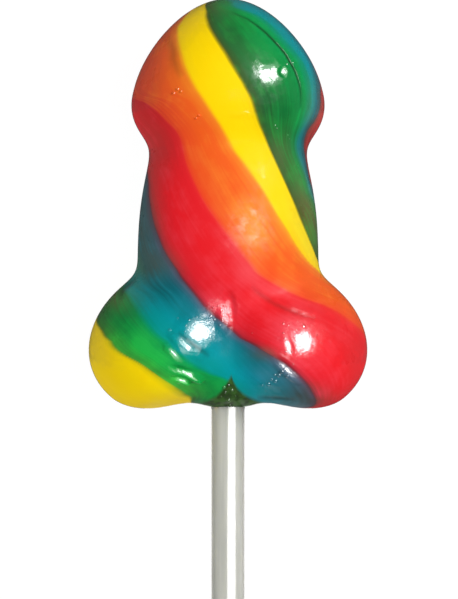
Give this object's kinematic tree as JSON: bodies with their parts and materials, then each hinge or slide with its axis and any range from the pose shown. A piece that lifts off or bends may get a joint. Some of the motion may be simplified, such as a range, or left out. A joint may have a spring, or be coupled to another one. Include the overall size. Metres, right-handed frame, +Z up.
{
  "type": "swirl lollipop",
  "caption": "Adult novelty swirl lollipop: a moulded boiled-sugar candy with a domed cap, a barrel-shaped body and two round lobes, striped in twisting colours, on a plain white stick.",
  "frame": {"origin": "bottom centre of the bounding box, on the surface the lollipop lies on", "axes": "+X across the candy, +Y along the stick towards the candy's domed cap, +Z up, out of the face that is shown"},
  "size_m": [0.0494, 0.1726, 0.0263],
  "materials": {
    "candy": "glossy boiled sugar with ten twisting stripes, the five colours yellow, orange, red, blue-green and green twice round",
    "stick": "smooth translucent off-white plastic"
  },
  "bodies": {
    "root": {"candy": "candy", "stick": "stick"}
  },
  "joints": []
}
